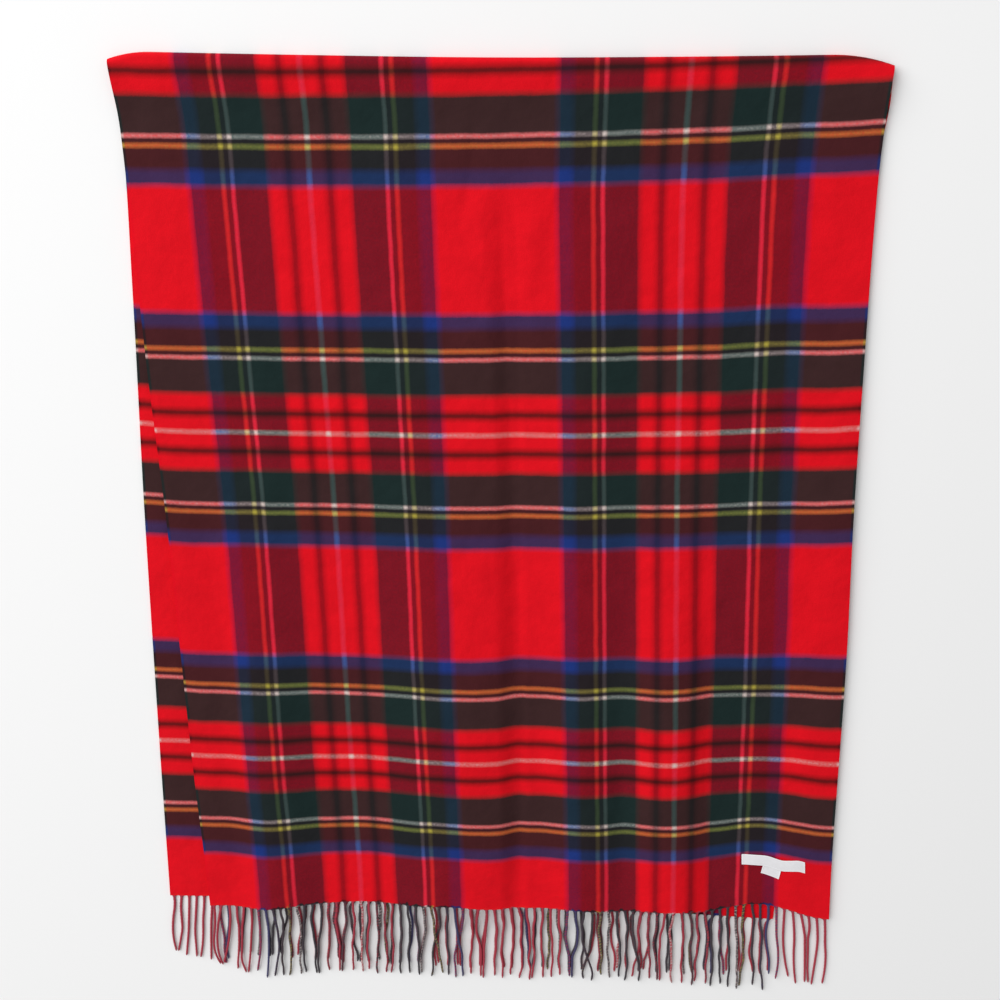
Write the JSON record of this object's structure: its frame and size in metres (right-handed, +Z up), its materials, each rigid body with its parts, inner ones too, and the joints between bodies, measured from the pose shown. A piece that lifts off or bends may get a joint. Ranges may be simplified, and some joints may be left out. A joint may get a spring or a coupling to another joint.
{
  "type": "tartan blanket scarf",
  "caption": "Brushed woven tartan scarf folded in half and laid flat, with twisted fringes on both hems and blank sewn labels.",
  "frame": {"origin": "on the surface the scarf lies on, under the middle of its outline", "axes": "+X across the cloth, +Y towards the fold, +Z up"},
  "size_m": [0.7374, 1.0011, 0.0178],
  "materials": {
    "tartan_cloth": "brushed twill-woven tartan, red ground with blue, black, green, yellow and white lines",
    "fringe_yarn": "two-ply twisted yarn in the colours of the warp",
    "label_satin": "plain woven satin ribbon, blank"
  },
  "bodies": {
    "root": {"front_half": "tartan_cloth", "fold": "tartan_cloth", "back_half": "tartan_cloth", "fringe_front": "fringe_yarn", "fringe_back": "fringe_yarn", "label_main": "label_satin", "label_care": "label_satin"}
  },
  "joints": []
}
